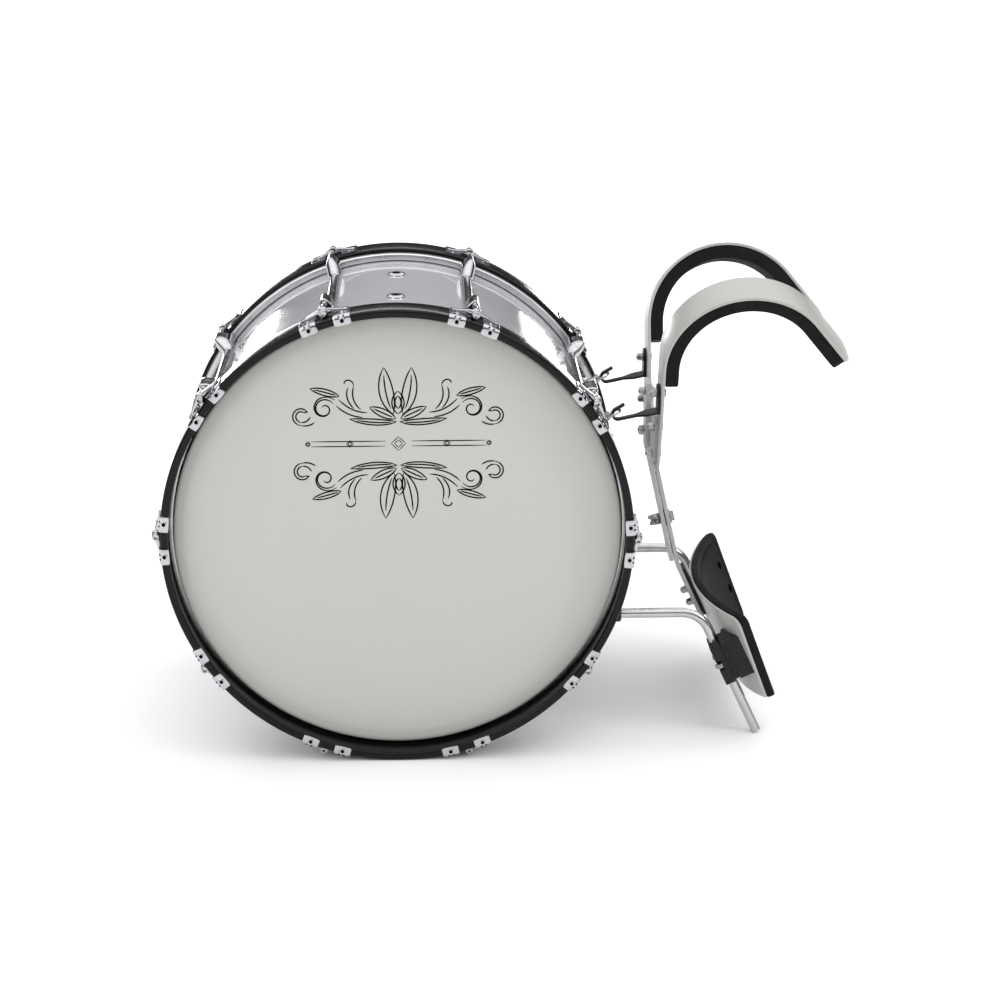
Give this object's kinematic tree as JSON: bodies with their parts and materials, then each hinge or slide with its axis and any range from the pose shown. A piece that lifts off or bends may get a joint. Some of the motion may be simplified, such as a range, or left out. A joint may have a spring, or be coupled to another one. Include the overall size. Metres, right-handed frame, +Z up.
{
  "type": "marching bass drum",
  "caption": "Marching bass drum with tensioned heads in hoops held by claws and rods, hooked to a padded shoulder carrier with a belly plate and support rods.",
  "frame": {"origin": "on the floor under the middle of the whole assembly's box, between the two hoops", "axes": "+Z up; Y along the drum's axis, with the player's left at -Y; +X towards the player"},
  "size_m": [0.8764, 0.4214, 0.6055],
  "materials": {
    "white_lacquer_shell": "white gloss lacquer",
    "chrome": "polished",
    "coated_head": "matt coated film",
    "flesh_hoop_metal": "satin",
    "black_lacquer_hoop": "black gloss lacquer",
    "white_coated_aluminium": "white satin coating",
    "black_foam": "closed-cell foam",
    "black_coated_steel": "black satin coating",
    "black_plastic": "moulded",
    "zinc_steel": "zinc plated",
    "bare_aluminium": "brushed",
    "black_rubber": "matt"
  },
  "bodies": {
    "drum": {"shell": "white_lacquer_shell", "lugs": "chrome", "shell_fasteners": "zinc_steel", "vent_grommets": "chrome", "eye_bolts": "chrome"},
    "left_hoop_set": {"left_head": "coated_head", "left_flesh_hoop": "flesh_hoop_metal", "left_counterhoop": "black_lacquer_hoop", "left_claws": "chrome", "left_yokes": "chrome"},
    "left_rod_1": {"left_tension_rod_1": "chrome"},
    "left_rod_2": {"left_tension_rod_2": "chrome"},
    "left_rod_3": {"left_tension_rod_3": "chrome"},
    "left_rod_4": {"left_tension_rod_4": "chrome"},
    "left_rod_5": {"left_tension_rod_5": "chrome"},
    "left_rod_6": {"left_tension_rod_6": "chrome"},
    "left_rod_7": {"left_tension_rod_7": "chrome"},
    "left_rod_8": {"left_tension_rod_8": "chrome"},
    "left_rod_9": {"left_tension_rod_9": "chrome"},
    "left_rod_10": {"left_tension_rod_10": "chrome"},
    "right_hoop_set": {"right_head": "coated_head", "right_flesh_hoop": "flesh_hoop_metal", "right_counterhoop": "black_lacquer_hoop", "right_claws": "chrome", "right_yokes": "chrome"},
    "right_rod_1": {"right_tension_rod_1": "chrome"},
    "right_rod_2": {"right_tension_rod_2": "chrome"},
    "right_rod_3": {"right_tension_rod_3": "chrome"},
    "right_rod_4": {"right_tension_rod_4": "chrome"},
    "right_rod_5": {"right_tension_rod_5": "chrome"},
    "right_rod_6": {"right_tension_rod_6": "chrome"},
    "right_rod_7": {"right_tension_rod_7": "chrome"},
    "right_rod_8": {"right_tension_rod_8": "chrome"},
    "right_rod_9": {"right_tension_rod_9": "chrome"},
    "right_rod_10": {"right_tension_rod_10": "chrome"},
    "left_ring": {"left_eye_ring": "chrome"},
    "right_ring": {"right_eye_ring": "chrome"},
    "carrier_upper": {"left_shoulder_arch": "white_coated_aluminium", "right_shoulder_arch": "white_coated_aluminium", "left_shoulder_pad": "black_foam", "right_shoulder_pad": "black_foam", "cross_plate": "white_coated_aluminium", "upper_spine": "white_coated_aluminium", "spine_washer": "black_plastic", "left_hook": "black_coated_steel", "right_hook": "black_coated_steel", "carrier_bolts": "zinc_steel"},
    "wing_nut": {"lock_wing_nut": "zinc_steel"},
    "carrier_lower": {"lower_spine": "white_coated_aluminium", "belly_plate": "white_coated_aluminium", "belly_pad": "black_foam", "belly_spacer": "black_plastic", "belly_bolts": "zinc_steel", "rod_clamp_blocks": "black_plastic", "rod_clamp_caps": "black_plastic", "clamp_bolts": "zinc_steel"},
    "left_support": {"left_support_rod": "bare_aluminium", "left_rod_tip": "black_rubber"},
    "right_support": {"right_support_rod": "bare_aluminium", "right_rod_tip": "black_rubber"}
  },
  "joints": [
    {"name": "left_hoop_slide", "type": "slide", "parent": "drum", "child": "left_hoop_set", "axis": [0, -1, 0], "range_m": [0, 0.003]},
    {"name": "left_rod_turn_1", "type": "hinge", "parent": "left_hoop_set", "child": "left_rod_1", "pos_m": [0.16904, -0.186, 0.28873], "axis": [0, -1, 0], "range_deg": [0, 860]},
    {"name": "left_rod_turn_2", "type": "hinge", "parent": "left_hoop_set", "child": "left_rod_2", "pos_m": [0.11506, -0.186, 0.46643], "axis": [0, -1, 0], "range_deg": [0, 860]},
    {"name": "left_rod_turn_3", "type": "hinge", "parent": "left_hoop_set", "child": "left_rod_3", "pos_m": [-0.03307, -0.186, 0.57846], "axis": [0, -1, 0], "range_deg": [0, 860]},
    {"name": "left_rod_turn_4", "type": "hinge", "parent": "left_hoop_set", "child": "left_rod_4", "pos_m": [-0.21876, -0.186, 0.58202], "axis": [0, -1, 0], "range_deg": [0, 860]},
    {"name": "left_rod_turn_5", "type": "hinge", "parent": "left_hoop_set", "child": "left_rod_5", "pos_m": [-0.37107, -0.186, 0.47576], "axis": [0, -1, 0], "range_deg": [0, 860]},
    {"name": "left_rod_turn_6", "type": "hinge", "parent": "left_hoop_set", "child": "left_rod_6", "pos_m": [-0.43184, -0.186, 0.30027], "axis": [0, -1, 0], "range_deg": [0, 860]},
    {"name": "left_rod_turn_7", "type": "hinge", "parent": "left_hoop_set", "child": "left_rod_7", "pos_m": [-0.37786, -0.186, 0.12257], "axis": [0, -1, 0], "range_deg": [0, 860]},
    {"name": "left_rod_turn_8", "type": "hinge", "parent": "left_hoop_set", "child": "left_rod_8", "pos_m": [-0.22973, -0.186, 0.01054], "axis": [0, -1, 0], "range_deg": [0, 860]},
    {"name": "left_rod_turn_9", "type": "hinge", "parent": "left_hoop_set", "child": "left_rod_9", "pos_m": [-0.04404, -0.186, 0.00698], "axis": [0, -1, 0], "range_deg": [0, 860]},
    {"name": "left_rod_turn_10", "type": "hinge", "parent": "left_hoop_set", "child": "left_rod_10", "pos_m": [0.10827, -0.186, 0.11324], "axis": [0, -1, 0], "range_deg": [0, 860]},
    {"name": "right_hoop_slide", "type": "slide", "parent": "drum", "child": "right_hoop_set", "axis": [0, 1, 0], "range_m": [0, 0.003]},
    {"name": "right_rod_turn_1", "type": "hinge", "parent": "right_hoop_set", "child": "right_rod_1", "pos_m": [0.16904, 0.186, 0.28873], "axis": [0, 1, 0], "range_deg": [0, 860]},
    {"name": "right_rod_turn_2", "type": "hinge", "parent": "right_hoop_set", "child": "right_rod_2", "pos_m": [0.11506, 0.186, 0.46643], "axis": [0, 1, 0], "range_deg": [0, 860]},
    {"name": "right_rod_turn_3", "type": "hinge", "parent": "right_hoop_set", "child": "right_rod_3", "pos_m": [-0.03307, 0.186, 0.57846], "axis": [0, 1, 0], "range_deg": [0, 860]},
    {"name": "right_rod_turn_4", "type": "hinge", "parent": "right_hoop_set", "child": "right_rod_4", "pos_m": [-0.21876, 0.186, 0.58202], "axis": [0, 1, 0], "range_deg": [0, 860]},
    {"name": "right_rod_turn_5", "type": "hinge", "parent": "right_hoop_set", "child": "right_rod_5", "pos_m": [-0.37107, 0.186, 0.47576], "axis": [0, 1, 0], "range_deg": [0, 860]},
    {"name": "right_rod_turn_6", "type": "hinge", "parent": "right_hoop_set", "child": "right_rod_6", "pos_m": [-0.43184, 0.186, 0.30027], "axis": [0, 1, 0], "range_deg": [0, 860]},
    {"name": "right_rod_turn_7", "type": "hinge", "parent": "right_hoop_set", "child": "right_rod_7", "pos_m": [-0.37786, 0.186, 0.12257], "axis": [0, 1, 0], "range_deg": [0, 860]},
    {"name": "right_rod_turn_8", "type": "hinge", "parent": "right_hoop_set", "child": "right_rod_8", "pos_m": [-0.22973, 0.186, 0.01054], "axis": [0, 1, 0], "range_deg": [0, 860]},
    {"name": "right_rod_turn_9", "type": "hinge", "parent": "right_hoop_set", "child": "right_rod_9", "pos_m": [-0.04404, 0.186, 0.00698], "axis": [0, 1, 0], "range_deg": [0, 860]},
    {"name": "right_rod_turn_10", "type": "hinge", "parent": "right_hoop_set", "child": "right_rod_10", "pos_m": [0.10827, 0.186, 0.11324], "axis": [0, 1, 0], "range_deg": [0, 860]},
    {"name": "left_ring_swing", "type": "hinge", "parent": "drum", "child": "left_ring", "pos_m": [0.13599, -0.094, 0.42261], "axis": [0, 1, 0], "range_deg": [-2, 10]},
    {"name": "right_ring_swing", "type": "hinge", "parent": "drum", "child": "right_ring", "pos_m": [0.13599, 0.094, 0.42261], "axis": [0, 1, 0], "range_deg": [-2, 10]},
    {"name": "carrier_swing", "type": "hinge", "parent": "drum", "child": "carrier_upper", "pos_m": [0.14411, 0, 0.4265], "axis": [0, -1, 0], "range_deg": [0, 20]},
    {"name": "wing_nut_turn", "type": "hinge", "parent": "carrier_upper", "child": "wing_nut", "pos_m": [0.21636, 0, 0.25411], "axis": [0.9751, 0, 0.2215], "continuous": true},
    {"name": "spine_slide", "type": "slide", "parent": "carrier_upper", "child": "carrier_lower", "axis": [0.2215, 0, -0.9751], "range_m": [0, 0.02]},
    {"name": "left_support_slide", "type": "slide", "parent": "carrier_lower", "child": "left_support", "axis": [0.4226, 0, -0.9063], "range_m": [0, 0.022]},
    {"name": "right_support_slide", "type": "slide", "parent": "carrier_lower", "child": "right_support", "axis": [0.4226, 0, -0.9063], "range_m": [0, 0.022]}
  ],
  "couplings": [
    {"joint": "left_rod_turn_1", "follows": "left_hoop_slide", "rad_per_m": 4947.4},
    {"joint": "left_rod_turn_2", "follows": "left_hoop_slide", "rad_per_m": 4947.4},
    {"joint": "left_rod_turn_3", "follows": "left_hoop_slide", "rad_per_m": 4947.4},
    {"joint": "left_rod_turn_4", "follows": "left_hoop_slide", "rad_per_m": 4947.4},
    {"joint": "left_rod_turn_5", "follows": "left_hoop_slide", "rad_per_m": 4947.4},
    {"joint": "left_rod_turn_6", "follows": "left_hoop_slide", "rad_per_m": 4947.4},
    {"joint": "left_rod_turn_7", "follows": "left_hoop_slide", "rad_per_m": 4947.4},
    {"joint": "left_rod_turn_8", "follows": "left_hoop_slide", "rad_per_m": 4947.4},
    {"joint": "left_rod_turn_9", "follows": "left_hoop_slide", "rad_per_m": 4947.4},
    {"joint": "left_rod_turn_10", "follows": "left_hoop_slide", "rad_per_m": 4947.4},
    {"joint": "right_rod_turn_1", "follows": "right_hoop_slide", "rad_per_m": 4947.4},
    {"joint": "right_rod_turn_2", "follows": "right_hoop_slide", "rad_per_m": 4947.4},
    {"joint": "right_rod_turn_3", "follows": "right_hoop_slide", "rad_per_m": 4947.4},
    {"joint": "right_rod_turn_4", "follows": "right_hoop_slide", "rad_per_m": 4947.4},
    {"joint": "right_rod_turn_5", "follows": "right_hoop_slide", "rad_per_m": 4947.4},
    {"joint": "right_rod_turn_6", "follows": "right_hoop_slide", "rad_per_m": 4947.4},
    {"joint": "right_rod_turn_7", "follows": "right_hoop_slide", "rad_per_m": 4947.4},
    {"joint": "right_rod_turn_8", "follows": "right_hoop_slide", "rad_per_m": 4947.4},
    {"joint": "right_rod_turn_9", "follows": "right_hoop_slide", "rad_per_m": 4947.4},
    {"joint": "right_rod_turn_10", "follows": "right_hoop_slide", "rad_per_m": 4947.4}
  ]
}
